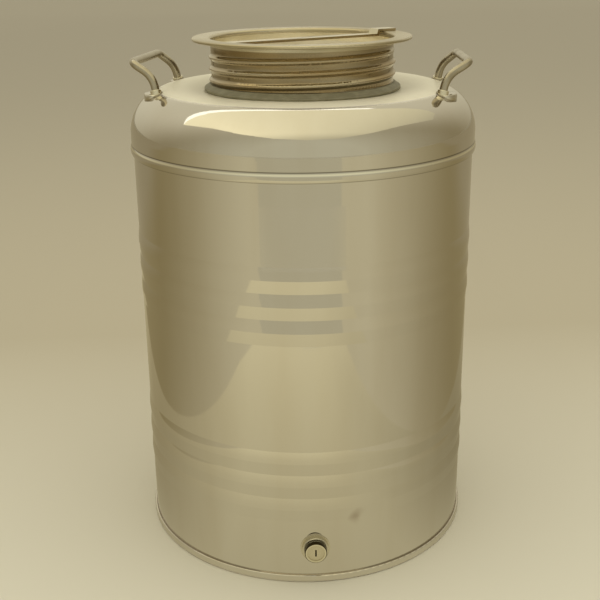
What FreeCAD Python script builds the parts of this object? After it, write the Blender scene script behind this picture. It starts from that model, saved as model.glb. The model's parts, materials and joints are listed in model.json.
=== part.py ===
import FreeCAD, Part
import math
import os

Vector = FreeCAD.Vector
up = Vector(0, 0, 1)
centre = Vector(0, 0, 0)

# Driving dimensions, in millimetres and degrees.
# The origin is the centre of the foot circle on the floor, +Z is up and the drain is on -Y.
# Each height above the body is a rise or a drop from the piece that it stands on.

# Body: rolled sheet with two groups of swaged ribs
body_radius = 185.0
body_sheet = 0.8
rib_pitch = 27.3
rib_height = 1.1
rib_swell = 0.75
ribs_in_group = 3
lower_group_height = 114.7
upper_group_height = 314.3
seam_width = 3.0
seam_height = 0.25
seam_end_gap = 2.0

# Base: rolled chime ring under a raised bottom pan
chime_height = 8.2
chime_stand_out = 2.6
chime_fold = 1.8
chime_edge = 0.9
foot_thickness = 1.0
pan_sheet = 0.8
pan_rise = 13.0
pan_corner = 7.0
pan_bead_radius = 120.0
pan_bead_width = 18.0
pan_bead_depth = 2.0

# Shoulder: drawn dome that hangs over the top edge of the body, with a rolled bead along its hem
dome_sheet = 1.0
dome_skirt_gap = 1.0
dome_corner = 47.0
dome_rise = 62.4
neck_seat_drop = 4.3
neck_seat_width = 9.0
bead_height = 443.1
bead_width = 10.2
bead_stand_out = 1.2
hem_depth = 0.6
hem_edge = 0.4
seam_lap = 9.0
joggle_height = 4.0
fit_gap = 0.05
past_face = 1.0

# Neck: short collar with a coarse rolled thread, right-handed
neck_radius = 96.3
neck_sheet = 0.8
neck_height = 31.3
thread_pitch = 12.0
thread_height = 2.5
thread_width = 8.4
thread_clearance = 0.6
thread_run_out = 50.0
thread_phase_rise = 25.8
thread_phase_angle = -92.7
thread_rows_apart = 1.4
thread_columns = 36

# Rubber ring round the neck root, sloping down to a rounded rim
seal_height = 7.2
seal_thickness = 9.4
seal_top_thickness = 3.4
seal_edge_height = 3.8
seal_round = 1.5

# Screw lid: threaded skirt, broad rim, recessed disc, gasket and grip bar
lid_sheet = 0.8
lid_foot_gap = 0.3
rim_rise = 23.75
rim_band = 8.2
rim_side_gap = 0.15
rim_radius = 117.4
rim_bend = 3.3
rim_curl = 3.2
skirt_top_drop = 5.25
gasket_thickness = 2.5
gasket_width = 6.5
gasket_gap = 0.1
gasket_side_gap = 0.4
disc_rim_height = 7.0
disc_corner = 3.0
disc_bead_radius = 62.0
disc_bead_width = 16.0
disc_bead_depth = 1.5
grip_angle = 27.0
grip_width = 17.0
grip_thickness = 2.5
grip_drop = 2.5
grip_corner = 3.5
grip_step = 3.0
grip_edge = 1.6

# Carrying handles: bent round bar on four short collars
handle_angle = -7.5
handle_bar = 8.6
handle_foot_inset = 39.0
handle_foot_spacing = 116.0
handle_knee_lean = 3.0
handle_knee_spacing = 108.0
handle_knee_rise = 14.0
handle_top_reach = 23.0
handle_top_spacing = 96.0
handle_top_rise = 28.0
handle_top_skew = 3.5
handle_knee_bend = 28.0
handle_top_bend = 9.0
collar_wall = 1.5
collar_height = 4.8
collar_edge = 0.6

# Drain: half-inch threaded socket with a screw plug
drain_height = 42.0
socket_radius = 14.3
socket_stand_out = 5.5
socket_inside = 9.0
socket_edge = 0.6
weld_width = 1.6
weld_height = 1.2
pipe_thread_radius = 9.9
pipe_thread_gap = 0.15
washer_thickness = 1.0
washer_width = 1.7
washer_bore_gap = 0.1
plug_head_radius = 11.8
plug_head_height = 5.0
plug_head_edge = 0.9
plug_face_radius = 8.8
plug_face_depth = 0.7
plug_slot_length = 8.0
plug_slot_width = 1.7
plug_slot_depth = 1.6
plug_shank_length = 13.0

# Sizes that follow from the driving dimensions
body_inside = body_radius - body_sheet
bead_low = bead_height - bead_width / 2
bead_high = bead_height + bead_width / 2
joggle_top = bead_high + joggle_height
body_top = joggle_top + seam_lap
dome_radius = body_radius + dome_skirt_gap + dome_sheet
dome_crown_height = bead_height + dome_rise
dome_crown_radius = dome_radius - dome_corner
dome_corner_height = dome_crown_height - dome_corner
neck_inside = neck_radius - neck_sheet
neck_seat_radius = neck_radius + neck_seat_width
neck_seat_height = dome_crown_height - neck_seat_drop
neck_mouth_height = neck_seat_height + neck_height
seal_top = neck_seat_height + seal_height
thread_phase_height = neck_seat_height + thread_phase_rise
neck_thread_low = seal_top + thread_width / 2
neck_thread_high = neck_mouth_height - thread_width / 2
rim_height = neck_mouth_height + rim_rise
rim_band_height = rim_height - rim_band
skirt_inside = neck_radius + thread_clearance
skirt_radius = skirt_inside + lid_sheet
skirt_low = seal_top + lid_foot_gap
skirt_top_height = rim_height - skirt_top_drop
skirt_thread_low = skirt_low - 2 * thread_pitch
skirt_thread_high = rim_band_height - thread_width / 2 - thread_rows_apart
rim_inside = skirt_radius + rim_side_gap
gasket_low = neck_mouth_height + gasket_gap
disc_low = gasket_low + gasket_thickness + gasket_gap
disc_radius = skirt_inside - fit_gap
disc_rim_top = disc_low + disc_rim_height
grip_high = rim_height - grip_drop
handle_foot_out = dome_radius - handle_foot_inset
handle_knee_out = handle_foot_out + handle_knee_lean
handle_knee_height = dome_crown_height + handle_knee_rise
handle_top_out = handle_foot_out + handle_top_reach
handle_top_height = dome_crown_height + handle_top_rise
socket_face = body_radius + socket_stand_out
socket_back = body_inside - socket_inside
washer_face = socket_face + washer_thickness
plug_face = washer_face + plug_head_height


def section(start, *steps):
    """Closed outline in the XZ plane; a step is an end point, or an arc's middle and end points."""
    edges = []
    here = Vector(start[0], 0, start[1])
    first = here
    for step in steps:
        if isinstance(step[0], tuple):
            middle = Vector(step[0][0], 0, step[0][1])
            end = Vector(step[1][0], 0, step[1][1])
            edges.append(Part.Arc(here, middle, end).toShape())
        else:
            end = Vector(step[0], 0, step[1])
            edges.append(Part.makeLine(here, end))
        here = end
    if (here - first).Length > 1e-6:
        edges.append(Part.makeLine(here, first))
    return Part.Face(Part.Wire(edges))


def ring(start, *steps):
    """Solid of revolution about the drum's axis."""
    return section(start, *steps).revolve(centre, up, 360)


def on_arc(middle, radius, angle):
    """Point of a circle in the XZ plane, with the angle measured up from +X."""
    turn = math.radians(angle)
    return (middle[0] + radius * math.cos(turn), middle[1] + radius * math.sin(turn))


def arc(middle, radius, angle_from, angle_to):
    """Arc step for section, from one angle of a circle to another."""
    halfway = (angle_from + angle_to) / 2
    return (on_arc(middle, radius, halfway), on_arc(middle, radius, angle_to))


def cylinder(radius, low, high):
    return Part.makeCylinder(radius, high - low, Vector(0, 0, low))


def cylinder_to_front(radius, back, front):
    """Cylinder along the drain's axis, between two distances from the drum's axis."""
    return Part.makeCylinder(radius, front - back, Vector(0, -back, drain_height), Vector(0, -1, 0))


def turned(shape, angle):
    copy = shape.copy()
    copy.rotate(centre, up, angle)
    return copy


def save(shape, name):
    shape = shape.removeSplitter()
    if not shape.isValid() or len(shape.Solids) != 1:
        raise ValueError("bad solid: " + name)
    os.makedirs("parts", exist_ok=True)
    shape.Solids[0].exportStep("parts/" + name + ".step")
    print(name, round(shape.Volume), "mm3")


def rib_steps(radius):
    """Steps up a wall over both groups; a rib has a straight lower flank and a rounded upper one."""
    flank = rib_pitch / 2
    steps = []
    for group_height in (lower_group_height, upper_group_height):
        low = group_height - ribs_in_group * flank
        steps.append((radius, low))
        for rib in range(ribs_in_group):
            crest = low + rib * rib_pitch + flank
            swell_at = (radius + rib_swell * rib_height, crest + flank / 2)
            steps.append((radius + rib_height, crest))
            steps.append((swell_at, (radius, crest + flank)))
    return steps


def body_profile(radius):
    """Steps up the wall at a radius, over the ribs and out to the lap under the dome's skirt."""
    lap_radius = radius + dome_skirt_gap - fit_gap
    joggle = [(radius, bead_high), (lap_radius, joggle_top), (lap_radius, body_top)]
    return [(radius, foot_thickness)] + rib_steps(radius) + joggle


def backwards(start_and_steps):
    """The same steps, walked from the last point to the first."""
    points = [start_and_steps[0]]
    middles = []
    for step in start_and_steps[1:]:
        curved = isinstance(step[0], tuple)
        middles.append(step[0] if curved else None)
        points.append(step[1] if curved else step)
    steps = [points[-1]]
    for index in range(len(middles) - 1, -1, -1):
        end = points[index]
        steps.append((middles[index], end) if middles[index] else end)
    return steps


def make_body_shell():
    outer = body_profile(body_radius)
    inner = body_profile(body_inside)
    wall = section(outer[0], *outer[1:], *backwards(inner)).revolve(centre, up, 360)
    drain_hole = cylinder_to_front(socket_radius + fit_gap, 0, body_radius + past_face)
    return wall.fuse(make_weld_seam()).cut(drain_hole)


def make_weld_seam():
    """Raised weld seam down the back, which the ribs are rolled through."""
    face = body_radius + seam_height
    middle = body_radius - body_sheet / 2
    seam_top = bead_low - seam_end_gap
    strip = section(
        (face, chime_height), *rib_steps(face), (face, seam_top), (middle, seam_top), (middle, chime_height)
    )
    seam_angle = math.degrees(seam_width / body_radius)
    strip.rotate(centre, up, 90 - seam_angle / 2)
    return strip.revolve(centre, up, seam_angle)


def make_bottom_pan():
    """Pressed pan, open side down, with one stiffening bead in its floor."""
    radius = body_inside - fit_gap
    inner = radius - pan_sheet
    corner_at = (radius - pan_corner, pan_rise - pan_corner)
    inner_corner = pan_corner - pan_sheet
    bead_out = pan_bead_radius + pan_bead_width / 2
    bead_in = pan_bead_radius - pan_bead_width / 2
    floor_under = pan_rise - pan_sheet
    return ring(
        (radius, foot_thickness),
        (radius, corner_at[1]),
        arc(corner_at, pan_corner, 0, 90),
        (bead_out, pan_rise),
        ((pan_bead_radius, pan_rise - pan_bead_depth), (bead_in, pan_rise)),
        (0, pan_rise),
        (0, floor_under),
        (bead_in, floor_under),
        ((pan_bead_radius, floor_under - pan_bead_depth), (bead_out, floor_under)),
        (corner_at[0], floor_under),
        arc(corner_at, inner_corner, 90, 0),
        (inner, foot_thickness),
    )


def make_base_chime():
    """Rolled ring round the foot, folded under the wall and the pan."""
    outside = body_radius + chime_stand_out
    inside = body_inside - fit_gap - pan_sheet
    low_edge = (outside - chime_edge, chime_edge)
    top_middle = body_radius + fit_gap + chime_fold / 2
    top_edge = (outside - chime_edge, chime_height - chime_edge)
    return ring(
        (inside, 0),
        (low_edge[0], 0),
        arc(low_edge, chime_edge, -90, 0),
        (outside, top_edge[1]),
        arc(top_edge, chime_edge, 0, 90),
        (top_middle, chime_height),
        (body_radius + fit_gap, chime_height - chime_edge),
        (body_radius + fit_gap, foot_thickness - fit_gap),
        (inside, foot_thickness - fit_gap),
    )


def dome_outline(offset):
    """Steps from the neck seat out over the crown and down the skirt, moved in by an offset."""
    dip = neck_seat_drop
    reach = dome_crown_radius - neck_seat_radius
    dip_radius = (reach ** 2 + dip ** 2) / (2 * dip)
    dip_at = (dome_crown_radius, dome_crown_height - dip_radius)
    dip_angle = 90 + math.degrees(math.asin(reach / dip_radius))
    corner_at = (dome_crown_radius, dome_corner_height)
    skirt = dome_radius - offset
    bead_out = skirt + bead_stand_out
    return [
        (neck_inside, neck_seat_height - offset),
        on_arc(dip_at, dip_radius - offset, dip_angle),
        arc(dip_at, dip_radius - offset, dip_angle, 90),
        arc(corner_at, dome_corner - offset, 90, 0),
        (skirt, bead_high),
        ((bead_out, bead_height), (skirt, bead_low)),
    ]


def make_shoulder_dome():
    outer = dome_outline(0)
    inner = dome_outline(dome_sheet)
    hem_radius = body_radius + fit_gap
    hem_low = bead_low - hem_depth
    hem = [
        (hem_radius + hem_edge, hem_low),
        (hem_radius, hem_low + hem_edge),
        (hem_radius, bead_low + hem_depth),
    ]
    return ring(outer[0], *outer[1:], *hem, *backwards(inner))


def thread_bulge(angle, height, low, high):
    """How far the thread pushes the wall out at a point, for a thread between two heights."""
    turns = (angle - thread_phase_angle) / 360
    nearest = round((height - thread_phase_height) / thread_pitch - turns)
    crest = thread_phase_height + thread_pitch * (nearest + turns)
    off_crest = abs(height - crest)
    if off_crest >= thread_width / 2:
        return 0.0
    run_out = thread_pitch * thread_run_out / 360
    fade = 1.0
    for past_end in (crest - low, high - crest):
        share = min(max(past_end / run_out, 0.0), 1.0)
        fade *= (1 - math.cos(math.pi * share)) / 2
    return thread_height * fade * math.cos(math.pi * off_crest / thread_width) ** 2


def threaded_face(radius, low, high, thread_low, thread_high):
    """Round wall face that bulges out along the thread."""
    rows = round((high - low) / thread_rows_apart)
    grid = []
    for column in range(thread_columns + 1):
        angle = 360 * (column % thread_columns) / thread_columns
        turn = math.radians(angle)
        line = []
        for row in range(rows + 1):
            height = low + (high - low) * row / rows
            out = radius + thread_bulge(angle, height, thread_low, thread_high)
            line.append(Vector(out * math.cos(turn), out * math.sin(turn), height))
        grid.append(line)
    surface = Part.BSplineSurface()
    surface.interpolate(grid)
    return surface.toShape()


def end_face(faces, height):
    """Flat ring between the edges that two wall faces have at a height."""
    wires = []
    for face in faces:
        wires.append(Part.Wire([edge for edge in face.Edges if abs(edge.CenterOfMass.z - height) < fit_gap]))
    return Part.makeFace(wires, "Part::FaceMakerBullseye")


def threaded_wall(radius, sheet, low, high, thread_low, thread_high):
    """Sheet sleeve with a rolled thread: the same bulge outside and inside."""
    outside = threaded_face(radius, low, high, thread_low, thread_high)
    inside = threaded_face(radius - sheet, low, high, thread_low, thread_high)
    ends = [end_face((outside, inside), height) for height in (low, high)]
    shell = Part.Shell([outside, inside] + ends)
    shell.sewShape()
    wall = Part.Solid(shell)
    wall.fix(1e-4, 1e-5, 1e-3)
    return wall


def make_neck_collar():
    return threaded_wall(neck_radius, neck_sheet, neck_seat_height, neck_mouth_height,
                         neck_thread_low, neck_thread_high)


def make_neck_seal():
    inside = neck_radius + fit_gap
    outside = inside + seal_thickness
    top_outside = inside + seal_top_thickness
    foot_at = (outside - seal_round, neck_seat_height + seal_round)
    edge_at = (foot_at[0], neck_seat_height + seal_edge_height - seal_round)
    return ring(
        (inside, neck_seat_height),
        (foot_at[0], neck_seat_height),
        arc(foot_at, seal_round, -90, 0),
        (outside, edge_at[1]),
        arc(edge_at, seal_round, 0, 90),
        (top_outside, seal_top),
        (inside, seal_top),
    )


def make_lid_skirt():
    """Skirt whose thread runs out through its lower edge."""
    return threaded_wall(skirt_radius, lid_sheet, skirt_low, skirt_top_height,
                         skirt_thread_low, skirt_thread_high)


def make_lid_rim():
    """Band round the top of the skirt that turns out into a flat rim with a curled edge."""
    outside = rim_inside + lid_sheet
    bend_at = (rim_inside + rim_bend, rim_height - rim_bend)
    curl = rim_curl / 2
    curl_at = (rim_radius - curl, rim_height - curl)
    curl_start = 180 - math.degrees(math.asin(1 - lid_sheet / curl))
    curl_end = 90 + 360
    return ring(
        (rim_inside, rim_band_height),
        (outside, rim_band_height),
        (outside, bend_at[1]),
        arc(bend_at, rim_bend - lid_sheet, 180, 90),
        on_arc(curl_at, curl, curl_start),
        arc(curl_at, curl, curl_start, curl_end),
        (bend_at[0], rim_height),
        arc(bend_at, rim_bend, 90, 180),
    )


def make_lid_disc():
    """Dished disc welded inside the skirt, with a stiffening bead."""
    top = disc_low + lid_sheet
    corner_at = (disc_radius - disc_corner, disc_low + disc_corner)
    bead_out = disc_bead_radius + disc_bead_width / 2
    bead_in = disc_bead_radius - disc_bead_width / 2
    return ring(
        (0, disc_low),
        (bead_in, disc_low),
        ((disc_bead_radius, disc_low + disc_bead_depth), (bead_out, disc_low)),
        (corner_at[0], disc_low),
        arc(corner_at, disc_corner, -90, 0),
        (disc_radius, disc_rim_top),
        (disc_radius - lid_sheet, disc_rim_top),
        (disc_radius - lid_sheet, corner_at[1]),
        arc(corner_at, disc_corner - lid_sheet, 0, -90),
        (bead_out, top),
        ((disc_bead_radius, top + disc_bead_depth), (bead_in, top)),
        (0, top),
    )


def make_lid_gasket():
    outside = skirt_inside - gasket_side_gap
    inside = outside - gasket_width
    high = gasket_low + gasket_thickness
    return ring((inside, gasket_low), (outside, gasket_low), (outside, high), (inside, high))


def make_lid_grip():
    """Flat bar across the lid: one end turned down inside the skirt, one laid over the rim."""
    low = grip_high - grip_thickness
    tab_low = disc_rim_top + fit_gap
    end = skirt_inside - fit_gap
    rim_top = rim_height + fit_gap
    lap_high = rim_top + grip_thickness
    lap_end = rim_radius - grip_edge
    step_at = end - grip_step
    corner_at = (grip_corner - end, grip_high - grip_corner)
    profile = section(
        (-end, tab_low),
        (-end, corner_at[1]),
        arc(corner_at, grip_corner, 180, 90),
        (step_at - grip_step, grip_high),
        (step_at - grip_step / 2, lap_high),
        (lap_end, lap_high),
        (lap_end, rim_top),
        (step_at + grip_step / 4, rim_top),
        (step_at - grip_step / 4, low),
        (corner_at[0], low),
        arc(corner_at, grip_corner - grip_thickness, 90, 180),
        (grip_thickness - end, tab_low),
    )
    bar = profile.extrude(Vector(0, grip_width, 0))
    bar.translate(Vector(0, -grip_width / 2, 0))
    reach = cylinder(end, 0, rim_top).fuse(cylinder(lap_end, rim_top, lap_high))
    return turned(bar.common(reach), grip_angle)


def rounded_path(points, bends):
    """Wire through points, with an arc of the given radius at each inner one."""
    edges = []
    here = points[0]
    for index in range(1, len(points) - 1):
        before = (points[index - 1] - points[index]).normalize()
        after = (points[index + 1] - points[index]).normalize()
        half_turn = before.getAngle(after) / 2
        back = bends[index - 1] / math.tan(half_turn)
        start = points[index] + before * back
        end = points[index] + after * back
        bisector = (before + after).normalize()
        middle = points[index] + bisector * (bends[index - 1] / math.sin(half_turn) - bends[index - 1])
        edges.append(Part.makeLine(here, start))
        edges.append(Part.Arc(start, middle, end).toShape())
        here = end
    edges.append(Part.makeLine(here, points[-1]))
    return Part.Wire(edges)


def dome_solid():
    """Everything under the dome's outer face, to trim what stands on it."""
    return ring((0, 0), (0, neck_seat_height), *dome_outline(0), (dome_radius, 0))


def handle_points(side, skew=0.0):
    """Foot on the dome's face, knee and top corner of one leg of the right-hand handle."""
    half_foot = side * handle_foot_spacing / 2
    from_crown = math.hypot(handle_foot_out, half_foot) - dome_crown_radius
    face_height = dome_corner_height + math.sqrt(dome_corner ** 2 - from_crown ** 2)
    foot = Vector(handle_foot_out, half_foot, face_height)
    knee = Vector(handle_knee_out, side * handle_knee_spacing / 2, handle_knee_height)
    top = Vector(handle_top_out + side * skew, side * handle_top_spacing / 2, handle_top_height)
    return foot, knee, top


def make_handle(front):
    """Handle before it is turned to its place; its top corner stands further out on the front side."""
    skew = front * handle_top_skew
    low_foot, low_knee, low_top = handle_points(-1, skew)
    high_foot, high_knee, high_top = handle_points(1, skew)
    start = low_foot + (low_foot - low_knee).normalize() * handle_bar
    end = high_foot + (high_foot - high_knee).normalize() * handle_bar
    points = [start, low_knee, low_top, high_top, high_knee, end]
    path = rounded_path(points, [handle_knee_bend, handle_top_bend, handle_top_bend, handle_knee_bend])
    circle = Part.Wire(Part.Circle(start, low_knee - start, handle_bar / 2).toShape())
    return path.makePipeShell([circle], True, False).cut(dome_solid())


def make_collar(side):
    """Short sleeve round a leg, cut to the dome's face."""
    foot, knee = handle_points(side)[:2]
    direction = (knee - foot).normalize()
    start = foot - direction * handle_bar
    length = handle_bar + collar_height
    bore = handle_bar / 2 + fit_gap
    sleeve = Part.makeCylinder(bore + collar_wall, length, start, direction)
    sleeve_top = start + direction * length
    top_edge = [edge for edge in sleeve.Edges if (edge.CenterOfMass - sleeve_top).Length < fit_gap]
    sleeve = sleeve.makeFillet(collar_edge, top_edge)
    bore_start = start - direction * past_face
    sleeve = sleeve.cut(Part.makeCylinder(bore, length + 2 * past_face, bore_start, direction))
    return sleeve.cut(dome_solid())


def front_edge(shape, distance):
    """The round edge of a shape's front face, at a distance from the drum's axis."""
    return [edge for edge in shape.Edges if abs(edge.CenterOfMass.y + distance) < fit_gap]


def make_socket():
    """Threaded boss through the wall, with its weld bead round the outside."""
    boss = cylinder_to_front(socket_radius, socket_back, socket_face)
    boss = boss.makeChamfer(socket_edge, front_edge(boss, socket_face))
    bead = cylinder_to_front(socket_radius + weld_width, 0, socket_face)
    bead = bead.common(cylinder(body_radius + weld_height, 0, 2 * drain_height))
    bead = bead.cut(cylinder(body_radius + fit_gap, 0, 2 * drain_height))
    bore = cylinder_to_front(pipe_thread_radius, socket_back - past_face, socket_face + past_face)
    return boss.fuse(bead).cut(bore)


def make_washer():
    inside = pipe_thread_radius + washer_bore_gap
    washer = cylinder_to_front(inside + washer_width, socket_face, washer_face)
    return washer.cut(cylinder_to_front(inside, socket_face - past_face, washer_face + past_face))


def make_plug():
    """Slotted screw plug: head on the washer, shank in the socket."""
    head = cylinder_to_front(plug_head_radius, washer_face, plug_face)
    head = head.makeFillet(plug_head_edge, front_edge(head, plug_face))
    shank_radius = pipe_thread_radius - pipe_thread_gap
    shank = cylinder_to_front(shank_radius, washer_face - plug_shank_length, washer_face)
    dish_floor = plug_face - plug_face_depth
    dish = cylinder_to_front(plug_face_radius, dish_floor, plug_face + past_face)
    slot = Part.makeBox(plug_slot_width, plug_slot_depth + past_face, plug_slot_length)
    slot.translate(Vector(-plug_slot_width / 2, -dish_floor - past_face, drain_height - plug_slot_length / 2))
    return head.fuse(shank).cut(dish).cut(slot)


save(make_body_shell(), "body_shell")
save(make_bottom_pan(), "bottom_pan")
save(make_base_chime(), "base_chime")
save(make_shoulder_dome(), "shoulder_dome")
save(make_neck_collar(), "neck_collar")
save(make_neck_seal(), "neck_seal")
save(make_lid_skirt(), "lid_skirt")
save(make_lid_rim(), "lid_rim")
save(make_lid_disc(), "lid_disc")
save(make_lid_gasket(), "lid_gasket")
save(make_lid_grip(), "lid_grip")
for name, side_angle, front in (("right", handle_angle, -1), ("left", handle_angle + 180, 1)):
    save(turned(make_handle(front), side_angle), name + "_handle")
    save(turned(make_collar(front), side_angle), name + "_front_collar")
    save(turned(make_collar(-front), side_angle), name + "_rear_collar")
save(make_socket(), "outlet_socket")
save(make_washer(), "plug_washer")
save(make_plug(), "drain_plug")
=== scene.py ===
import json
import math

import bpy
from mathutils import Matrix, Vector
from mathutils.bvhtree import BVHTree


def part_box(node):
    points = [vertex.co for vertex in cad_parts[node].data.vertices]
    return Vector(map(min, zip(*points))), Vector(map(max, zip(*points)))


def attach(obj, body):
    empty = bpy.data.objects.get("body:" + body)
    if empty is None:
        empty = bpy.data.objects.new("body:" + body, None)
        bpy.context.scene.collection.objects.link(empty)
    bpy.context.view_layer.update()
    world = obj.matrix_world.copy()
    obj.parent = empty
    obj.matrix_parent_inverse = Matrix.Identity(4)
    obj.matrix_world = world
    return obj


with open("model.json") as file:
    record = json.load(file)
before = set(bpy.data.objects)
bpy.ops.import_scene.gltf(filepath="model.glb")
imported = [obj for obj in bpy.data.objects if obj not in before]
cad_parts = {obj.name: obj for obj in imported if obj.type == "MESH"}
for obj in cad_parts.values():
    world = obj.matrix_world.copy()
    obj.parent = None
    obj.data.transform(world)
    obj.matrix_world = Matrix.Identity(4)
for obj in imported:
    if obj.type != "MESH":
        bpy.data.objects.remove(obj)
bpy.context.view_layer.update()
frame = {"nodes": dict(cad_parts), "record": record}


def linearColour(hexText):
    # sRGB hex as written in a paint chart, to the linear values that the shaders take
    values = []
    for start in (1, 3, 5):
        share = int(hexText[start:start + 2], 16) / 255
        values.append(share / 12.92 if share <= 0.04045 else ((share + 0.055) / 1.055) ** 2.4)
    return (*values, 1.0)


def perMetre(sizeMm):
    # texture scale at which one cell of the pattern has this size
    return 1000 / sizeMm


def addNode(tree, kind, settings, inputs):
    # settings are the node's own properties, inputs are values or the outputs of other nodes
    node = tree.nodes.new(kind)
    for name, value in settings.items():
        setattr(node, name, value)
    for name, value in inputs.items():
        if isinstance(value, bpy.types.NodeSocket):
            tree.links.new(value, node.inputs[name])
        else:
            node.inputs[name].default_value = value
    return node


def startMaterial(name, surface):
    # a new material with its Principled shader set from a dictionary of socket values
    material = bpy.data.materials.new(name)
    material.use_nodes = True
    tree = material.node_tree
    shader = tree.nodes["Principled BSDF"]
    for socket, value in surface.items():
        shader.inputs[socket].default_value = value
    return material, tree, shader


def addMesh(name, points, faces, material):
    # one object from plain mesh data, in the shared frame
    mesh = bpy.data.meshes.new(name)
    mesh.from_pydata(points, [], faces)
    mesh.materials.append(material)
    piece = bpy.data.objects.new(name, mesh)
    bpy.context.scene.collection.objects.link(piece)
    return piece


def onlyInMirrors(card):
    # lamps, floor and camera don't notice this piece
    card.visible_camera = False
    card.visible_diffuse = False
    card.visible_shadow = False


# Camera: where the picture was taken from, about 1.1 m in front of the drum and a little above its rim
cameraSetup = {
    "place": (-0.0514, -1.0900, 0.6499),
    "turn": -2.417,
    "tiltDown": 19.838,
    "roll": 0.695,
    "lens": 59.54,
    "sensor": 36.0,
    "clip": (0.05, 60),
}


def makeCamera():
    data = bpy.data.cameras.new("camera")
    data.lens = cameraSetup["lens"]
    data.sensor_width = cameraSetup["sensor"]
    data.clip_start, data.clip_end = cameraSetup["clip"]
    camera = bpy.data.objects.new("camera", data)
    turn = Matrix.Rotation(math.radians(cameraSetup["turn"]), 4, "Z")
    tilt = Matrix.Rotation(math.radians(90 - cameraSetup["tiltDown"]), 4, "X")
    roll = Matrix.Rotation(math.radians(-cameraSetup["roll"]), 4, "Z")
    camera.matrix_world = Matrix.Translation(cameraSetup["place"]) @ turn @ tilt @ roll
    bpy.context.scene.collection.objects.link(camera)
    bpy.context.scene.camera = camera


# Floor: a plain pale sheet that fades a little darker behind the drum, a painted shade
floorSetup = {
    "nearColour": "#D9D2B6",
    "farColour": "#B5AA8B",
    "fadeFrom": -0.30,
    "fadeTo": 0.55,
    "size": 40.0,
}


def makeFloor():
    half = floorSetup["size"] / 2
    surface = {"Roughness": 0.9, "Specular IOR Level": 0.2}
    material, tree, shader = startMaterial("paintedFloor", surface)
    place = addNode(tree, "ShaderNodeTexCoord", {}, {})
    parts = addNode(tree, "ShaderNodeSeparateXYZ", {}, {"Vector": place.outputs["Object"]})
    fade = addNode(tree, "ShaderNodeMapRange", {},
                   {"Value": parts.outputs["Y"], "From Min": floorSetup["fadeFrom"],
                    "From Max": floorSetup["fadeTo"]})
    colour = addNode(tree, "ShaderNodeMix", {"data_type": "RGBA"},
                     {0: fade.outputs["Result"], 6: linearColour(floorSetup["nearColour"]),
                      7: linearColour(floorSetup["farColour"])})
    tree.links.new(colour.outputs[2], shader.inputs["Base Color"])
    corners = [(-half, -half, 0), (half, -half, 0), (half, half, 0), (-half, half, 0)]
    addMesh("floor", corners, [(0, 1, 2, 3)], material)


# The room as a mirror sees it: pale in front of the drum, darker beside and behind it
roomSetup = {
    "front": "#CCC8AF",
    "side": "#988D6E",
    "frontAt": -0.80,
    "sideAt": 0.40,
    "fallOff": 1.6,
}


def roomColour(tree, facing, frontColour, sideColour):
    # facing runs from -1 straight in front of the drum to 1 straight behind it
    near = addNode(tree, "ShaderNodeMapRange", {},
                   {"Value": facing, "From Min": roomSetup["frontAt"], "From Max": roomSetup["sideAt"],
                    "To Min": 1.0, "To Max": 0.0})
    share = addNode(tree, "ShaderNodeMath", {"operation": "POWER"},
                    {0: near.outputs["Result"], 1: roomSetup["fallOff"]})
    colour = addNode(tree, "ShaderNodeMix", {"data_type": "RGBA"},
                     {0: share.outputs[0], 6: linearColour(sideColour), 7: linearColour(frontColour)})
    return colour.outputs[2]


# Cards: boards flat on the floor that only mirrors see. The paper is the pale field that the drum stands on, the
# boards beside it give the polished wall its two darker fields, and the far one its middle column.
cardSetup = {
    "lift": 0.002,
    "leftEdge": [(-0.445, -0.837), (-0.510, -0.55), (-0.482, -0.20), (-0.472, 0.10), (-0.472, 9.0)],
    "rightEdge": [(0.305, -0.837), (0.363, -0.50), (0.408, -0.20), (0.448, 0.10), (0.448, 9.0)],
    "gap": 0.012,
    "leftFan": 33.0,
    "rightFan": 21.0,
    "reach": 9.0,
    "footFrom": 0.19,
    "footTo": 0.90,
    "looks": {  # colour in front, colour at the side, strength at the foot and far off, depth of the shade
        "paper": ("#DAD1AC", "#AA9E7A", 0.79, 1.14, 0.14),
        "side": ("#D1C9A9", "#958863", 0.95, 1.0, 0.02),
        "column": ("#C9C3A7", "#C9C3A7", 0.93, 0.96, 0.0),
    },
    "rear": "#9E9375",
    "rearFrom": 0.45,
    "rearTo": 1.30,
    "shadeFrom": 0.05,
    "shadeTo": 0.35,
    "shadeNear": 0.60,
    "shadeFar": 1.20,
}


# a board that gives only its own light, so that a mirror sees it as bright as it is written
blackBoard = {"Base Color": (0, 0, 0, 1), "Roughness": 1.0, "Specular IOR Level": 0.0}


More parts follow.
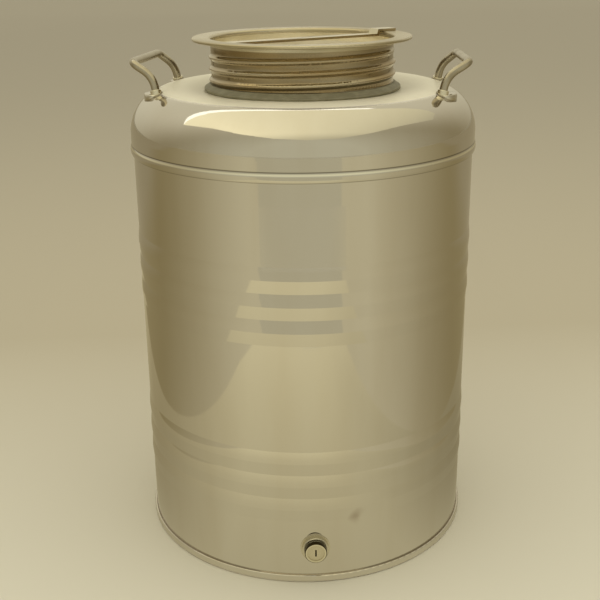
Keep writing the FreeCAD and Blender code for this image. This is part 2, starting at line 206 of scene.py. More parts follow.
def makeCard(name, look, outline):
    frontColour, sideColour, footShare, farShare, shade = cardSetup["looks"][look]
    material, tree, shader = startMaterial(name + "Board", blackBoard)
    place = addNode(tree, "ShaderNodeTexCoord", {}, {}).outputs["Object"]
    parts = addNode(tree, "ShaderNodeSeparateXYZ", {}, {"Vector": place})
    reach = addNode(tree, "ShaderNodeVectorMath", {"operation": "LENGTH"}, {0: place})
    facing = addNode(tree, "ShaderNodeMath", {"operation": "DIVIDE"},
                     {0: parts.outputs["Y"], 1: reach.outputs["Value"]})
    # the boards are dimmer near the drum's foot, a painted shadow
    share = addNode(tree, "ShaderNodeMapRange", {},
                    {"Value": reach.outputs["Value"], "From Min": cardSetup["footFrom"],
                     "From Max": cardSetup["footTo"], "To Min": footShare, "To Max": farShare})
    # behind the drum all the boards fade to one colour, and to the right of it the paper lies in soft shade
    rear = addNode(tree, "ShaderNodeMapRange", {"interpolation_type": "SMOOTHSTEP"},
                   {"Value": parts.outputs["Y"], "From Min": cardSetup["rearFrom"], "From Max": cardSetup["rearTo"]})
    colour = addNode(tree, "ShaderNodeMix", {"data_type": "RGBA"},
                     {0: rear.outputs["Result"], 6: roomColour(tree, facing.outputs[0], frontColour, sideColour),
                      7: linearColour(cardSetup["rear"])})
    toRight = addNode(tree, "ShaderNodeMapRange", {"interpolation_type": "SMOOTHSTEP"},
                      {"Value": parts.outputs["X"], "From Min": cardSetup["shadeFrom"],
                       "From Max": cardSetup["shadeTo"], "To Max": -shade})
    close = addNode(tree, "ShaderNodeMapRange", {"interpolation_type": "SMOOTHSTEP"},
                    {"Value": reach.outputs["Value"], "From Min": cardSetup["shadeFar"],
                     "From Max": cardSetup["shadeNear"]})
    shaded = addNode(tree, "ShaderNodeMath", {"operation": "MULTIPLY_ADD"},
                     {0: toRight.outputs["Result"], 1: close.outputs["Result"], 2: share.outputs["Result"]})
    tree.links.new(colour.outputs[2], shader.inputs["Emission Color"])
    tree.links.new(shaded.outputs[0], shader.inputs["Emission Strength"])
    points = [(x, y, cardSetup["lift"]) for x, y in outline]
    card = addMesh(name, points, [tuple(range(len(points)))], material)
    onlyInMirrors(card)


def makeCards():
    # each edge of the paper runs from its front corner to the back, and the room's darker floor starts there
    left, right, reach = cardSetup["leftEdge"], cardSetup["rightEdge"], cardSetup["reach"]
    makeCard("paperCard", "paper", left[::-1] + right)
    far = []
    near = []
    for name, side, edge in (("left", -1, left), ("right", 1, right)):
        slope = side * math.tan(math.radians(cardSetup[name + "Fan"]))
        corner = (edge[0][0] + slope * reach, edge[0][1] - reach)
        outline = [corner, (side * reach * 2, corner[1]), (side * reach * 2, edge[-1][1])] + edge[::-1]
        makeCard(name + "Card", "side", outline)
        far.append(corner)
        near.append((edge[0][0] + slope * cardSetup["gap"], edge[0][1] - cardSetup["gap"]))
    makeCard("columnCard", "column", [near[0], far[0], far[1], near[1]])


# Lit ceiling: the pale field on the shoulder is its mirror image. Brighter to the left, with a bright edge behind.
# Its outline is in metres on the ceiling, and only mirrors see it.
ceilingSetup = {
    "height": 2.4,
    "outline": [(-2.70, 0.55), (-1.95, -0.42), (-1.62, -1.30), (-0.95, -2.15), (0.00, -2.55), (0.95, -2.35),
                (1.70, -1.45), (2.15, -0.45), (2.60, 0.20), (3.10, 0.90), (2.60, 1.45), (0.70, 1.16), (0.00, 1.20),
                (-0.70, 1.10), (-1.35, 0.86)],
    "edge": [(-2.70, 0.55), (-1.35, 0.86), (-0.70, 1.10), (0.00, 1.20), (0.70, 1.16), (0.78, 1.30), (0.00, 1.42),
             (-0.75, 1.34), (-1.42, 1.10)],
    "shadeFrom": -1.5,
    "shadeTo": 2.9,
    "leftShade": 1.28,
    "rightShade": 0.60,
    "edgeShade": 1.75,
    "fadeFrom": -2.5,
    "fadeTo": -1.3,
    "frontShade": 0.7,
    "colour": "#FFF6CF",
    "edgeColour": "#FFFDEE",
}


def makeCeiling():
    look = ceilingSetup
    for name, outline, colour, left, right in (
            ("ceilingCard", look["outline"], look["colour"], look["leftShade"], look["rightShade"]),
            ("ceilingEdge", look["edge"], look["edgeColour"], look["edgeShade"], look["edgeShade"])):
        material, tree, shader = startMaterial(name + "Light",
                                               {**blackBoard, "Emission Color": linearColour(colour)})
        place = addNode(tree, "ShaderNodeTexCoord", {}, {}).outputs["Object"]
        parts = addNode(tree, "ShaderNodeSeparateXYZ", {}, {"Vector": place})
        shade = addNode(tree, "ShaderNodeMapRange", {},
                        {"Value": parts.outputs["X"], "From Min": look["shadeFrom"], "From Max": look["shadeTo"],
                         "To Min": left, "To Max": right})
        fade = addNode(tree, "ShaderNodeMapRange", {"interpolation_type": "SMOOTHSTEP"},
                       {"Value": parts.outputs["Y"], "From Min": look["fadeFrom"], "From Max": look["fadeTo"],
                        "To Min": look["frontShade"]})
        strength = addNode(tree, "ShaderNodeMath", {"operation": "MULTIPLY"},
                           {0: shade.outputs["Result"], 1: fade.outputs["Result"]})
        tree.links.new(strength.outputs[0], shader.inputs["Emission Strength"])
        points = [(x, y, look["height"]) for x, y in outline]
        card = addMesh(name, points, [tuple(range(len(points)))], material)
        onlyInMirrors(card)


# Lamp: a wide soft panel overhead that lights the floor and the rubber, and that mirrors don't show
lampSetup = {
    "place": (0, -0.1, 2.3),
    "size": (4.0, 3.0),
    "radiance": 0.75,
    "colour": "#FFFBF0",
}


def makeLamp():
    data = bpy.data.lights.new("panel", "AREA")
    data.shape = "RECTANGLE"
    data.size, data.size_y = lampSetup["size"]
    data.energy = lampSetup["radiance"] * math.pi * data.size * data.size_y
    data.color = linearColour(lampSetup["colour"])[:3]
    light = bpy.data.objects.new("panel", data)
    light.location = lampSetup["place"]
    light.visible_glossy = False
    bpy.context.scene.collection.objects.link(light)


# World: a dim room with a paler wall behind the drum. Mirrors see the room, the camera sees plain paper, and
# everything else gets neutral light.
worldSetup = {
    "rearWall": "#DDD6BC",
    "backdrop": "#A4987A",
    "paleTowards": (-0.12, 0.62, 0.775),
    "paleFrom": 0.15,
    "paleTo": 0.90,
    "fill": 0.75,
}


def makeWorld():
    world = bpy.data.worlds.new("paleRoom")
    bpy.context.scene.world = world
    world.use_nodes = True
    tree = world.node_tree
    background = tree.nodes["Background"]
    direction = addNode(tree, "ShaderNodeTexCoord", {}, {}).outputs["Generated"]
    parts = addNode(tree, "ShaderNodeSeparateXYZ", {}, {"Vector": direction})
    behind = addNode(tree, "ShaderNodeVectorMath", {"operation": "DOT_PRODUCT"},
                     {0: direction, 1: worldSetup["paleTowards"]})
    pale = addNode(tree, "ShaderNodeMapRange", {"interpolation_type": "SMOOTHSTEP"},
                   {"Value": behind.outputs["Value"], "From Min": worldSetup["paleFrom"],
                    "From Max": worldSetup["paleTo"]})
    low = roomColour(tree, parts.outputs["Y"], roomSetup["front"], roomSetup["side"])
    room = addNode(tree, "ShaderNodeMix", {"data_type": "RGBA"},
                   {0: pale.outputs["Result"], 6: low, 7: linearColour(worldSetup["rearWall"])})
    rays = addNode(tree, "ShaderNodeLightPath", {}, {})
    fill = worldSetup["fill"]
    mirrored = addNode(tree, "ShaderNodeMix", {"data_type": "RGBA"},
                       {0: rays.outputs["Is Glossy Ray"], 6: (fill, fill, fill, 1), 7: room.outputs[2]})
    colour = addNode(tree, "ShaderNodeMix", {"data_type": "RGBA"},
                     {0: rays.outputs["Is Camera Ray"], 6: mirrored.outputs[2],
                      7: linearColour(worldSetup["backdrop"])})
    tree.links.new(colour.outputs[2], background.inputs["Color"])


makeCamera()
makeFloor()
makeCards()
makeCeiling()
makeLamp()
makeWorld()
print("camera, stage and lamps ready")


# Polished stainless sheet: cold rolled 304, buffed to a mirror. The eye sees clear reflections that waver
# a little, a faint upright grain left by the buffing belt, and dull hand smears.
polishedSheet = {
    "surface": {"Base Color": linearColour("#D6D1C8"), "Metallic": 1.0, "Roughness": 0.06},
    "tarnish": "#BFB39B",
    "stain": "#7A5B3C",
    "waveSize": 70,  # mm, the slow unevenness of rolled sheet
    "waveDepth": 0.00012,
    "dentSize": 22,  # mm
    "dentDepth": 0.000008,
    "grainSize": 1.8,  # mm; belt grain is about 0.2 mm, drawn coarser so that it shows
    "grainLength": 55,
    "grainDepth": 0.0000012,
    "grainFrom": 0.3,
    "grainTo": 0.7,
    "grainRough": (-0.01, 0.02),
    "smearSize": 45,  # mm, the width of a wiping hand or cloth
    "smearLength": 260,
    "smearFrom": 0.52,
    "smearTo": 0.78,
    "roughFrom": 0.045,
    "roughTo": 0.13,
    "filmFrom": 0.35,
    "filmTo": 0.75,
    "filmShare": 0.18,
    "crownOuter": 0.1585,
    "crownInner": 0.1525,
    "crownRough": 0.36,
    "crownMetal": 0.2,
    "crownHaze": "#DDD5B6",
    "stainAt": (0.043, -0.180, 0.076),
    "stainReach": 0.010,
    "stainRagged": 2.0,
    "stainShare": 0.35,
    "ringCore": 0.3,
    # the dark lines below are painted shade, the pale one a painted highlight
    "rings": (  # height, half width, colour and strength of the lines along the rolled bead
        (0.4484, 0.0009, "#4F4430", 0.65),
        (0.4460, 0.0013, "#FFFBEA", 0.9),
        (0.4382, 0.0008, "#4F4430", 0.4),
    ),
    "fieldCentre": (-0.009, 0.383),
    "fieldHalf": (0.042, 0.033),
    "fieldSoft": 0.002,
    "fieldRough": 0.16,
}


def polishedSheetMaterial():
    look = polishedSheet
    material, tree, shader = startMaterial("polishedStainlessSheet", look["surface"])
    place = addNode(tree, "ShaderNodeTexCoord", {}, {}).outputs["Object"]
    stretched = addNode(tree, "ShaderNodeMapping", {},
                        {"Vector": place, "Scale": (1, 1, look["grainSize"] / look["grainLength"])})
    grain = addNode(tree, "ShaderNodeTexNoise", {},
                    {"Vector": stretched.outputs["Vector"], "Scale": perMetre(look["grainSize"]), "Detail": 2.0})
    drawn = addNode(tree, "ShaderNodeMapping", {},
                    {"Vector": place, "Scale": (1, 1, look["smearSize"] / look["smearLength"])})
    smear = addNode(tree, "ShaderNodeTexNoise", {},
                    {"Vector": drawn.outputs["Vector"], "Scale": perMetre(look["smearSize"]), "Detail": 3.0})
    waves = addNode(tree, "ShaderNodeTexNoise", {},
                    {"Vector": place, "Scale": perMetre(look["waveSize"]), "Detail": 0.0})
    dents = addNode(tree, "ShaderNodeTexNoise", {},
                    {"Vector": place, "Scale": perMetre(look["dentSize"]), "Detail": 1.0})
    dull = addNode(tree, "ShaderNodeMapRange", {"interpolation_type": "SMOOTHSTEP"},
                   {"Value": smear.outputs["Fac"], "From Min": look["smearFrom"], "From Max": look["smearTo"],
                    "To Min": look["roughFrom"], "To Max": look["roughTo"]})
    lined = addNode(tree, "ShaderNodeMapRange", {},
                    {"Value": grain.outputs["Fac"], "From Min": look["grainFrom"], "From Max": look["grainTo"],
                     "To Min": look["grainRough"][0], "To Max": look["grainRough"][1]})
    rough = addNode(tree, "ShaderNodeMath", {"operation": "ADD"},
                    {0: dull.outputs["Result"], 1: lined.outputs["Result"]})
    flat = addNode(tree, "ShaderNodeVectorMath", {"operation": "MULTIPLY"}, {0: place, 1: (1, 1, 0)})
    radius = addNode(tree, "ShaderNodeVectorMath", {"operation": "LENGTH"}, {0: flat.outputs["Vector"]})
    crown = addNode(tree, "ShaderNodeMapRange", {"interpolation_type": "SMOOTHSTEP"},
                    {"Value": radius.outputs["Value"], "From Min": look["crownOuter"], "From Max": look["crownInner"],
                     "To Max": look["crownRough"]})
    brushed = addNode(tree, "ShaderNodeMath", {"operation": "MAXIMUM"},
                      {0: rough.outputs[0], 1: crown.outputs["Result"]})
    # the plain etched field on the front, where the finish is a little duller
    parts = addNode(tree, "ShaderNodeSeparateXYZ", {}, {"Vector": place})
    field = addNode(tree, "ShaderNodeMath", {"operation": "LESS_THAN"}, {0: parts.outputs["Y"], 1: 0.0}).outputs[0]
    for axis, centre, half in zip("XZ", look["fieldCentre"], look["fieldHalf"]):
        offset = addNode(tree, "ShaderNodeMath", {"operation": "SUBTRACT"}, {0: parts.outputs[axis], 1: centre})
        away = addNode(tree, "ShaderNodeMath", {"operation": "ABSOLUTE"}, {0: offset.outputs[0]})
        inside = addNode(tree, "ShaderNodeMapRange", {"interpolation_type": "SMOOTHSTEP"},
                         {"Value": away.outputs[0], "From Min": half, "From Max": half - look["fieldSoft"]})
        field = addNode(tree, "ShaderNodeMath", {"operation": "MULTIPLY"},
                        {0: field, 1: inside.outputs["Result"]}).outputs[0]
    etched = addNode(tree, "ShaderNodeMath", {"operation": "MULTIPLY_ADD"},
                     {0: field, 1: look["fieldRough"], 2: brushed.outputs[0]})
    tree.links.new(etched.outputs[0], shader.inputs["Roughness"])
    metal = addNode(tree, "ShaderNodeMapRange", {"interpolation_type": "SMOOTHSTEP"},
                    {"Value": radius.outputs["Value"], "From Min": look["crownOuter"], "From Max": look["crownInner"],
                     "To Min": 1.0, "To Max": look["crownMetal"]})
    tree.links.new(metal.outputs["Result"], shader.inputs["Metallic"])
    film = addNode(tree, "ShaderNodeMapRange", {"interpolation_type": "SMOOTHSTEP"},
                   {"Value": smear.outputs["Fac"], "From Min": look["filmFrom"], "From Max": look["filmTo"],
                    "To Max": look["filmShare"]})
    colour = addNode(tree, "ShaderNodeMix", {"data_type": "RGBA"},
                     {0: film.outputs["Result"], 6: look["surface"]["Base Color"], 7: linearColour(look["tarnish"])})
    hazed = addNode(tree, "ShaderNodeMapRange", {"interpolation_type": "SMOOTHSTEP"},
                    {"Value": radius.outputs["Value"], "From Min": look["crownOuter"], "From Max": look["crownInner"]})
    crowned = addNode(tree, "ShaderNodeMix", {"data_type": "RGBA"},
                      {0: hazed.outputs["Result"], 6: colour.outputs[2], 7: linearColour(look["crownHaze"])})
    fromStain = addNode(tree, "ShaderNodeVectorMath", {"operation": "DISTANCE"}, {0: place, 1: look["stainAt"]})
    blurred = addNode(tree, "ShaderNodeMath", {"operation": "MULTIPLY_ADD"},
                      {0: dents.outputs["Fac"], 1: -look["stainRagged"] * look["stainReach"],
                       2: fromStain.outputs["Value"]})
    stained = addNode(tree, "ShaderNodeMapRange", {"interpolation_type": "SMOOTHSTEP"},
                      {"Value": blurred.outputs[0], "From Min": 0.0, "From Max": -look["stainReach"],
                       "To Max": look["stainShare"]})
    marked = addNode(tree, "ShaderNodeMix", {"data_type": "RGBA"},
                     {0: stained.outputs["Result"], 6: crowned.outputs[2], 7: linearColour(look["stain"])})
    # painted shade in the creases on both sides of the rolled bead, and a painted highlight along its crest
    for level, half, shade, share in look["rings"]:
        offset = addNode(tree, "ShaderNodeMath", {"operation": "SUBTRACT"}, {0: parts.outputs["Z"], 1: level})
        away = addNode(tree, "ShaderNodeMath", {"operation": "ABSOLUTE"}, {0: offset.outputs[0]})
        line = addNode(tree, "ShaderNodeMapRange", {"interpolation_type": "SMOOTHSTEP"},
                       {"Value": away.outputs[0], "From Min": half, "From Max": look["ringCore"] * half,
                        "To Max": share})
        marked = addNode(tree, "ShaderNodeMix", {"data_type": "RGBA"},
                         {0: line.outputs["Result"], 6: marked.outputs[2], 7: linearColour(shade)})
    tree.links.new(marked.outputs[2], shader.inputs["Base Color"])
    waved = addNode(tree, "ShaderNodeBump", {}, {"Height": waves.outputs["Fac"], "Distance": look["waveDepth"]})
    dented = addNode(tree, "ShaderNodeBump", {}, {"Height": dents.outputs["Fac"], "Distance": look["dentDepth"],
                                                  "Normal": waved.outputs["Normal"]})
    grained = addNode(tree, "ShaderNodeBump", {}, {"Height": grain.outputs["Fac"], "Distance": look["grainDepth"],
                                                   "Normal": dented.outputs["Normal"]})
    tree.links.new(grained.outputs["Normal"], shader.inputs["Normal"])
    return material


# Rolled stainless sheet: thread and rim pressed in by rollers, left as rolled. The eye sees softer
# reflections with fine lines round the axis, and a golden brown film that lies in bands along the thread.
rolledSheet = {
    "surface": {"Base Color": linearColour("#B9AE98"), "Metallic": 1.0, "Roughness": 0.2},
    "film": "#A8926A",
    # dirt and painted shade in the grooves of the thread
    "grooveDirtAndShade": "#6B5833",
    # the inward faces are painted paler, a painted light
    "inside": "#EFE8D2",
    "filmFrom": 0.35,
    "filmTo": 0.68,
    "filmShare": 0.8,
    "bandTo": 0.7,
    "crest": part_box("lid_skirt")[1].x,
    "grooveDepth": 0.0024,
    "grooveStart": 0.3,
    "grooveDirtAndShadeShare": 0.35,
    "lineSize": 1.2,  # mm; lines from the rollers are about 0.1 mm, drawn coarser so that they show
    "lineRun": 60,
    "lineDepth": 0.000006,
    "bandSize": 7,
    "bandRun": 120,
    "roughFrom": 0.10,
    "roughTo": 0.24,
}


def rolledSheetMaterial(name, look):
    material, tree, shader = startMaterial(name, look["surface"])
    place = addNode(tree, "ShaderNodeTexCoord", {}, {}).outputs["Object"]
    runs = []
    for size, run in (("lineSize", "lineRun"), ("bandSize", "bandRun")):
        share = look[size] / look[run]
        flattened = addNode(tree, "ShaderNodeMapping", {}, {"Vector": place, "Scale": (share, share, 1)})
        runs.append(addNode(tree, "ShaderNodeTexNoise", {},
                            {"Vector": flattened.outputs["Vector"], "Scale": perMetre(look[size]), "Detail": 3.0}))
    lines, bands = runs
    rough = addNode(tree, "ShaderNodeMapRange", {},
                    {"Value": bands.outputs["Fac"], "From Min": look["filmFrom"], "From Max": look["bandTo"],
                     "To Min": look["roughFrom"], "To Max": look["roughTo"]})
    tree.links.new(rough.outputs["Result"], shader.inputs["Roughness"])
    film = addNode(tree, "ShaderNodeMapRange", {"interpolation_type": "SMOOTHSTEP"},
                   {"Value": bands.outputs["Fac"], "From Min": look["filmFrom"], "From Max": look["filmTo"],
                    "To Max": look["filmShare"]})
    colour = addNode(tree, "ShaderNodeMix", {"data_type": "RGBA"},
                     {0: film.outputs["Result"], 6: look["surface"]["Base Color"], 7: linearColour(look["film"])})
    if "grooveDirtAndShade" in look:
        # dirt and painted shade that stay in the grooves of the thread
        flat = addNode(tree, "ShaderNodeVectorMath", {"operation": "MULTIPLY"}, {0: place, 1: (1, 1, 0)})
        radius = addNode(tree, "ShaderNodeVectorMath", {"operation": "LENGTH"}, {0: flat.outputs["Vector"]})
        groove = addNode(tree, "ShaderNodeMapRange", {"interpolation_type": "SMOOTHSTEP"},
                         {"Value": radius.outputs["Value"],
                          "From Min": look["crest"] - look["grooveStart"] * look["grooveDepth"],
                          "From Max": look["crest"] - look["grooveDepth"], "To Max": look["grooveDirtAndShadeShare"]})
        normal = addNode(tree, "ShaderNodeTexCoord", {}, {}).outputs["Normal"]
        outward = addNode(tree, "ShaderNodeVectorMath", {"operation": "DOT_PRODUCT"},
                          {0: normal, 1: flat.outputs["Vector"]})
        outside = addNode(tree, "ShaderNodeMath", {"operation": "GREATER_THAN"},
                          {0: outward.outputs["Value"], 1: 0.0})
        dirtAndShade = addNode(tree, "ShaderNodeMath", {"operation": "MULTIPLY"},
                        {0: groove.outputs["Result"], 1: outside.outputs[0]})
        # inward faces take the pale colour, a painted light
        inner = addNode(tree, "ShaderNodeMix", {"data_type": "RGBA"},
                        {0: outside.outputs[0], 6: linearColour(look["inside"]), 7: colour.outputs[2]})
        colour = addNode(tree, "ShaderNodeMix", {"data_type": "RGBA"},
                         {0: dirtAndShade.outputs[0], 6: inner.outputs[2], 7: linearColour(look["grooveDirtAndShade"])})
    tree.links.new(colour.outputs[2], shader.inputs["Base Color"])
    lined = addNode(tree, "ShaderNodeBump", {}, {"Height": lines.outputs["Fac"], "Distance": look["lineDepth"]})
    tree.links.new(lined.outputs["Normal"], shader.inputs["Normal"])
    return material


# Rolled rim: the same sheet as the thread, handled more, so that the film has been rubbed off its top. The eye sees
# a paler ring with brown lines.
rolledRim = {
    "surface": {"Base Color": linearColour("#D3CAB4"), "Metallic": 1.0, "Roughness": 0.26},
    "film": "#ADA07F",
    "filmFrom": 0.35,
    "filmTo": 0.68,
    "filmShare": 0.8,
    "bandTo": 0.7,
    "lineSize": 1.2,
    "lineRun": 60,
    "lineDepth": 0.000006,
    "bandSize": 5,
    "bandRun": 120,
    "roughFrom": 0.22,
    "roughTo": 0.36,
}


# Pressed stainless sheet: the lid's disc, pressed and wiped clean. The eye sees a paler, softer shine than on the
# rolled wall round it.
pressedSheet = {
    "surface": {"Base Color": linearColour("#E2DAC3"), "Metallic": 0.5, "Roughness": 0.45},
    "film": "#CFC4A6",
    "filmFrom": 0.35,
    "filmTo": 0.68,
    "filmShare": 0.8,
    "bandTo": 0.7,
    "lineSize": 2.0,
    "lineRun": 40,
    "lineDepth": 0.000008,
    "bandSize": 30,
    "bandRun": 60,
    "roughFrom": 0.40,
    "roughTo": 0.55,
}


# Bright stainless bar: drawn, bent and brushed by hand. The eye sees soft streaked reflections along it.
brightBar = {
    "surface": {"Base Color": linearColour("#B4AC9B"), "Metallic": 1.0, "Roughness": 0.2},
    "film": "#8E836D",
    "filmFrom": 0.45,
    "filmTo": 0.75,
    "filmShare": 0.5,
    "patchFrom": 0.35,
    "patchTo": 0.7,
    "patchSize": 14,  # mm, where hands have dulled it
    "scratchSize": 0.9,  # mm; hand brushing leaves about 0.1 mm, drawn coarser so that it shows
    "scratchDepth": 0.000004,
    "roughFrom": 0.16,
    "roughTo": 0.32,
}


def brightBarMaterial(name, look):
    material, tree, shader = startMaterial(name, look["surface"])
    place = addNode(tree, "ShaderNodeTexCoord", {}, {}).outputs["Object"]
    patches = addNode(tree, "ShaderNodeTexNoise", {},
                      {"Vector": place, "Scale": perMetre(look["patchSize"]), "Detail": 3.0})
    scratches = addNode(tree, "ShaderNodeTexNoise", {},
                        {"Vector": place, "Scale": perMetre(look["scratchSize"]), "Detail": 1.0, "Distortion": 2.0})
    rough = addNode(tree, "ShaderNodeMapRange", {},
                    {"Value": patches.outputs["Fac"], "From Min": look["patchFrom"], "From Max": look["patchTo"],
                     "To Min": look["roughFrom"], "To Max": look["roughTo"]})
    tree.links.new(rough.outputs["Result"], shader.inputs["Roughness"])
    film = addNode(tree, "ShaderNodeMapRange", {"interpolation_type": "SMOOTHSTEP"},
                   {"Value": patches.outputs["Fac"], "From Min": look["filmFrom"], "From Max": look["filmTo"],
                    "To Max": look["filmShare"]})
    colour = addNode(tree, "ShaderNodeMix", {"data_type": "RGBA"},
                     {0: film.outputs["Result"], 6: look["surface"]["Base Color"], 7: linearColour(look["film"])})
    tree.links.new(colour.outputs[2], shader.inputs["Base Color"])
    scratched = addNode(tree, "ShaderNodeBump", {}, {"Height": scratches.outputs["Fac"],
                                                     "Distance": look["scratchDepth"]})
    tree.links.new(scratched.outputs["Normal"], shader.inputs["Normal"])
    return material


# Bright stainless sleeve: cut from tube and buffed. The eye sees small bright bands at the feet of the handles.
buffedTube = {
    "surface": {"Base Color": linearColour("#E6DFCB"), "Metallic": 1.0, "Roughness": 0.2},
    "film": "#CFC6AE",
    "filmFrom": 0.45,
    "filmTo": 0.75,
    "filmShare": 0.5,
    "patchFrom": 0.35,
    "patchTo": 0.7,
    "patchSize": 8,
    "scratchSize": 0.9,
    "scratchDepth": 0.000003,
    "roughFrom": 0.18,
    "roughTo": 0.28,
}

# Turned stainless steel: faced in a lathe. The eye sees fine rings round the drain's axis that catch the light,
# a painted highlight on the bevel, and a painted shade line where the head's edge meets the socket.
turnedSteel = {
    "surface": {"Base Color": linearColour("#CFC8B4"), "Metallic": 1.0, "Roughness": 0.26},
    "slotPaintedShade": "#33290F",
    "axis": (0, 0, (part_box("drain_plug")[0].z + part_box("drain_plug")[1].z) / 2),
    "headRadius": (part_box("drain_plug")[1].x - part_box("drain_plug")[0].x) / 2,
    "face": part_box("drain_plug")[0].y,
    "slotFrom": 0.0011,
    "slotTo": 0.0016,
    "faceShare": 0.44,
    "ringSize": 0.6,  # mm; the lathe's feed is about 0.2 mm, drawn coarser so that it shows
    "ringDepth": 0.000012,
    # shares of twice the head's radius: face, bevel with a painted highlight, painted shade round the head, socket
    "stops": ((0.0, "#DAD2BC"), (0.40, "#CFC7AF"), (0.43, "#E6DFC8"), (0.455, "#E6DFC8"), (0.475, "#33290F"),
              (0.503, "#33290F"), (0.515, "#CFC8B4"), (1.0, "#CFC8B4")),
}


def turnedSteelMaterial():
    look = turnedSteel
    material, tree, shader = startMaterial("turnedStainlessSteel", look["surface"])
    place = addNode(tree, "ShaderNodeTexCoord", {}, {}).outputs["Object"]
    fromAxis = addNode(tree, "ShaderNodeVectorMath", {"operation": "SUBTRACT"}, {0: place, 1: look["axis"]})
    flat = addNode(tree, "ShaderNodeVectorMath", {"operation": "MULTIPLY"},
                   {0: fromAxis.outputs["Vector"], 1: (1, 0, 1)})
    radius = addNode(tree, "ShaderNodeVectorMath", {"operation": "LENGTH"}, {0: flat.outputs["Vector"]})
    share = addNode(tree, "ShaderNodeMath", {"operation": "DIVIDE"},
                    {0: radius.outputs["Value"], 1: 2 * look["headRadius"]})
    rings = addNode(tree, "ShaderNodeTexNoise", {"noise_dimensions": "1D"},
                    {"W": radius.outputs["Value"], "Scale": perMetre(look["ringSize"]), "Detail": 2.0})
    colour = addNode(tree, "ShaderNodeValToRGB", {}, {"Fac": share.outputs[0]})
    stops = colour.color_ramp.elements
    while len(stops) < len(look["stops"]):
        stops.new(0.5)  # moved to its place below
    for stop, (position, shade) in zip(stops, look["stops"]):
        stop.position = position
        stop.color = linearColour(shade)
    # painted shade in the slot of the plug, which lies behind the plug's face
    parts = addNode(tree, "ShaderNodeSeparateXYZ", {}, {"Vector": place})
    behind = addNode(tree, "ShaderNodeMapRange", {},
                     {"Value": parts.outputs["Y"], "From Min": look["face"] + look["slotFrom"],
                      "From Max": look["face"] + look["slotTo"]})
    onFace = addNode(tree, "ShaderNodeMath", {"operation": "LESS_THAN"},
                     {0: share.outputs[0], 1: look["faceShare"]})
    slot = addNode(tree, "ShaderNodeMath", {"operation": "MULTIPLY"},
                   {0: behind.outputs["Result"], 1: onFace.outputs[0]})
    slotted = addNode(tree, "ShaderNodeMix", {"data_type": "RGBA"},
                      {0: slot.outputs[0], 6: colour.outputs["Color"], 7: linearColour(look["slotPaintedShade"])})
    tree.links.new(slotted.outputs[2], shader.inputs["Base Color"])
    ringed = addNode(tree, "ShaderNodeBump", {}, {"Height": rings.outputs["Fac"], "Distance": look["ringDepth"]})
    tree.links.new(ringed.outputs["Normal"], shader.inputs["Normal"])
    return material


# Grey rubber: moulded, food grade. The eye sees a matt face with a bloom of dust and a fine mould texture.
greyRubber = {
    "surface": {"Base Color": linearColour("#7D7656"), "Roughness": 0.55, "IOR": 1.52},
    "bloom": "#8A8363",
    "bloomFrom": 0.4,
    "bloomTo": 0.7,
    "bloomSize": 9,  # mm
    "skinSize": 1.1,  # mm; the mould's spark texture is about 0.3 mm, drawn coarser so that it shows
    "skinDepth": 0.00003,
}


def greyRubberMaterial():
    look = greyRubber
    material, tree, shader = startMaterial("mouldedGreyRubber", look["surface"])
    place = addNode(tree, "ShaderNodeTexCoord", {}, {}).outputs["Object"]
    bloom = addNode(tree, "ShaderNodeTexNoise", {},
                    {"Vector": place, "Scale": perMetre(look["bloomSize"]), "Detail": 4.0})
    skin = addNode(tree, "ShaderNodeTexNoise", {},
                   {"Vector": place, "Scale": perMetre(look["skinSize"]), "Detail": 2.0})
    dusty = addNode(tree, "ShaderNodeMapRange", {"interpolation_type": "SMOOTHSTEP"},
                    {"Value": bloom.outputs["Fac"], "From Min": look["bloomFrom"], "From Max": look["bloomTo"]})
    colour = addNode(tree, "ShaderNodeMix", {"data_type": "RGBA"},
                     {0: dusty.outputs["Result"], 6: look["surface"]["Base Color"], 7: linearColour(look["bloom"])})
    tree.links.new(colour.outputs[2], shader.inputs["Base Color"])
    pitted = addNode(tree, "ShaderNodeBump", {}, {"Height": skin.outputs["Fac"], "Distance": look["skinDepth"]})
    tree.links.new(pitted.outputs["Normal"], shader.inputs["Normal"])
    return material


slotMaterials = {
    "polished_steel": polishedSheetMaterial(),
    "rolled_steel": rolledSheetMaterial("rolledStainlessSheet", rolledSheet),
    "bright_bar": brightBarMaterial("brightStainlessBar", brightBar),
    "turned_steel": turnedSteelMaterial(),
    "grey_rubber": greyRubberMaterial(),
}
for part in frame["record"]["subparts"]:
    frame["nodes"][part["node"]].material_slots[0].material = slotMaterials[part["material_slot"]]
frame["nodes"]["lid_disc"].material_slots[0].material = rolledSheetMaterial("pressedStainlessSheet", pressedSheet)
frame["nodes"]["lid_rim"].material_slots[0].material = rolledSheetMaterial("rubbedStainlessRim", rolledRim)
collarSteel = brightBarMaterial("buffedStainlessTube", buffedTube)
collarNodes = ("right_front_collar", "right_rear_collar", "left_front_collar", "left_rear_collar")
for node in collarNodes:
    frame["nodes"][node].material_slots[0].material = collarSteel
print("materials ready, the last one for", len(collarNodes), "collars")

# Welds: each handle foot stands on a thin pad and is welded to it all round. The pad's underside follows the
# shoulder, and the weld has the small overlapping steps that a hand torch leaves.
weldSetup = {
    "frontPad": {"half": (0.0150, 0.0085), "alongShift": 0.0090, "outShift": 0.0025},
    "rearPad": {"half": (0.0100, 0.0080), "alongShift": 0.0, "outShift": 0.0},
    "padRise": 0.0010,
    "padSink": 0.0004,
    "padRings": ((1.0, 0.0), (1.0, 0.6), (0.97, 0.85), (0.91, 1.0), (0.45, 1.0)),
    "padSides": 48,
    "weldRadius": 0.0061,
    "weldTube": 0.0009,
    "weldSeat": 0.6,
    "weldSwell": 0.22,
    "weldSteps": 18,
    "weldSides": 90,
    "weldCorners": 10,
}


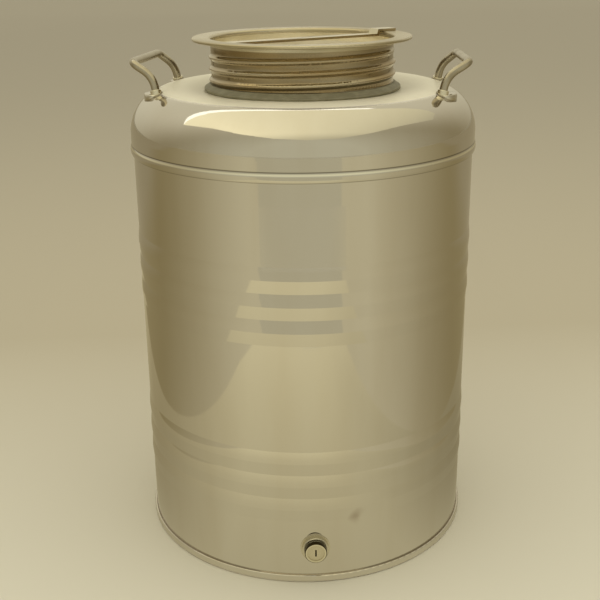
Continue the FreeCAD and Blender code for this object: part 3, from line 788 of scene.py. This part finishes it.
def smoothed(piece):
    for polygon in piece.data.polygons:
        polygon.use_smooth = True
    return piece


def shoulderHeight(tree, x, y):
    # how high the shoulder is at this place in plan
    return tree.ray_cast(Vector((x, y, 1.0)), Vector((0, 0, -1)))[0].z


def makePad(name, tree, foot, look, material):
    # the long axis runs round the drum, towards the back of it
    outward = foot.normalized()
    along = Vector((-outward.y, outward.x)) * (1 if outward.x > 0 else -1)
    centre = foot + along * look["alongShift"] + outward * look["outShift"]
    top = shoulderHeight(tree, *foot) + weldSetup["padRise"]
    points = []
    for share, rise in weldSetup["padRings"]:
        for step in range(weldSetup["padSides"]):
            angle = 2 * math.pi * step / weldSetup["padSides"]
            place = centre + along * math.cos(angle) * look["half"][0] * share
            place += outward * math.sin(angle) * look["half"][1] * share
            under = shoulderHeight(tree, *place) - weldSetup["padSink"]
            points.append((*place, under + (max(top, under) - under) * rise))
    return closeRings(name, points, weldSetup["padSides"], material)


def closeRings(name, points, sides, material):
    # skins a stack of rings and fills both ends
    count = len(points) // sides
    faces = [tuple(range(sides))[::-1], tuple(range((count - 1) * sides, count * sides))]
    for ring in range(count - 1):
        for step in range(sides):
            following = (step + 1) % sides
            faces.append((ring * sides + step, ring * sides + following,
                          (ring + 1) * sides + following, (ring + 1) * sides + step))
    return smoothed(addMesh(name, points, faces, material))


def makeWeld(name, tree, foot, material):
    # a tube round the foot whose thickness rises and falls once for each step of the torch
    sides = weldSetup["weldSides"]
    corners = weldSetup["weldCorners"]
    points = []
    for step in range(sides):
        angle = 2 * math.pi * step / sides
        outward = Vector((math.cos(angle), math.sin(angle)))
        swell = 1 + weldSetup["weldSwell"] * abs(math.sin(angle * weldSetup["weldSteps"] / 2))
        middle = foot + outward * weldSetup["weldRadius"]
        base = shoulderHeight(tree, *middle) + weldSetup["padRise"] * weldSetup["weldSeat"]
        for corner in range(corners):
            roundTube = 2 * math.pi * corner / corners
            reach = weldSetup["weldRadius"] + weldSetup["weldTube"] * swell * math.cos(roundTube)
            points.append((*(foot + outward * reach), base + weldSetup["weldTube"] * swell * math.sin(roundTube)))
    faces = []
    for step in range(sides):
        following = (step + 1) % sides
        for corner in range(corners):
            beside = (corner + 1) % corners
            faces.append((step * corners + corner, following * corners + corner,
                          following * corners + beside, step * corners + beside))
    return smoothed(addMesh(name, points, faces, material))


dome = frame["nodes"]["shoulder_dome"]
domeTree = BVHTree.FromPolygons([point.co for point in dome.data.vertices],
                                [polygon.vertices for polygon in dome.data.polygons])
for node in collarNodes:
    low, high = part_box(node)
    foot = ((low + high) / 2).to_2d()
    corner = node.replace("_collar", "")
    padLook = weldSetup["frontPad" if "front" in node else "rearPad"]
    pad = makePad(corner + "_pad", domeTree, foot, padLook, slotMaterials["polished_steel"])
    weld = makeWeld(corner + "_weld", domeTree, foot, slotMaterials["bright_bar"])
    for piece, slot in ((pad, "polished_steel"), (weld, "bright_bar")):
        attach(piece, "drum")
print("welds ready")

bpy.context.scene.view_settings.view_transform = "Standard"
